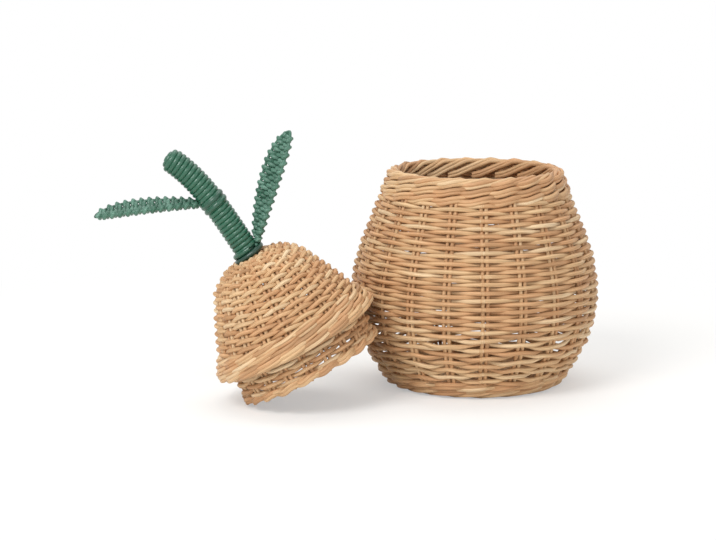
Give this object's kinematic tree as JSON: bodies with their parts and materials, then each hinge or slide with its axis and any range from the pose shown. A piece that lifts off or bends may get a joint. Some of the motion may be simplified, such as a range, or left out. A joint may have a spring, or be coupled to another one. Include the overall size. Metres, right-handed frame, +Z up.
{
  "type": "lidded onion basket",
  "caption": "Round woven cane basket shaped like an onion, with a lift-off woven lid that has a neck, a wound stem and leaves; the lid leans on the basket.",
  "frame": {"origin": "on the floor, under the middle of the outline of basket and leaning lid together", "axes": "+Z up; +X from the leaning lid towards the basket, along the longest side; -Y towards the viewer of the picture"},
  "size_m": [0.3732, 0.2328, 0.2006],
  "materials": {
    "weave_cane": "natural cane, bare, smooth to the touch",
    "border_cane": "natural cane, bare, a little paler",
    "stake_cane": "natural cane, bare, a little paler",
    "base_cane": "natural cane, bare, a little darker",
    "core_cane": "thick natural cane, hidden under the windings",
    "wrap_cane": "cane dyed dark green, satin",
    "leaf_cane": "cane dyed green, satin"
  },
  "bodies": {
    "basket": {"base_weave": "base_cane", "foot_border": "border_cane", "wall_weave": "weave_cane", "rim_border": "border_cane", "stake_pair_01": "stake_cane", "stake_pair_02": "stake_cane", "stake_pair_03": "stake_cane", "stake_pair_04": "stake_cane", "stake_pair_05": "stake_cane", "stake_pair_06": "stake_cane", "stake_pair_07": "stake_cane", "stake_pair_08": "stake_cane", "stake_pair_09": "stake_cane", "stake_pair_10": "stake_cane", "stake_pair_11": "stake_cane", "stake_pair_12": "stake_cane", "stake_pair_13": "stake_cane", "stake_pair_14": "stake_cane", "stake_pair_15": "stake_cane", "stake_pair_16": "stake_cane", "stake_pair_17": "stake_cane", "stake_pair_18": "stake_cane", "stake_pair_19": "stake_cane", "stake_pair_20": "stake_cane"},
    "lid": {"crown_weave": "weave_cane", "edge_border": "border_cane", "neck_weave": "weave_cane", "neck_border": "border_cane", "lid_stake_pair_01": "stake_cane", "lid_stake_pair_02": "stake_cane", "lid_stake_pair_03": "stake_cane", "lid_stake_pair_04": "stake_cane", "lid_stake_pair_05": "stake_cane", "lid_stake_pair_06": "stake_cane", "lid_stake_pair_07": "stake_cane", "lid_stake_pair_08": "stake_cane", "lid_stake_pair_09": "stake_cane", "lid_stake_pair_10": "stake_cane", "lid_stake_pair_11": "stake_cane", "lid_stake_pair_12": "stake_cane", "lid_stake_pair_13": "stake_cane", "lid_stake_pair_14": "stake_cane", "lid_stake_pair_15": "stake_cane", "lid_stake_pair_16": "stake_cane", "lid_stake_pair_17": "stake_cane", "lid_stake_pair_18": "stake_cane", "lid_stake_pair_19": "stake_cane", "lid_stake_pair_20": "stake_cane", "stem_core": "core_cane", "stem_collar": "wrap_cane", "stem_wrap_lower": "wrap_cane", "stem_tie": "wrap_cane", "stem_wrap_upper": "wrap_cane", "left_leaf_frame": "leaf_cane", "left_leaf_midrib": "leaf_cane", "left_leaf_weave": "leaf_cane", "right_leaf_frame": "leaf_cane", "right_leaf_midrib": "leaf_cane", "right_leaf_weave": "leaf_cane"}
  },
  "joints": [
    {"name": "lid_lift", "type": "slide", "parent": "basket", "child": "lid", "axis": [-0.4695, 0, 0.8829], "range_m": [0, 0.2]}
  ]
}
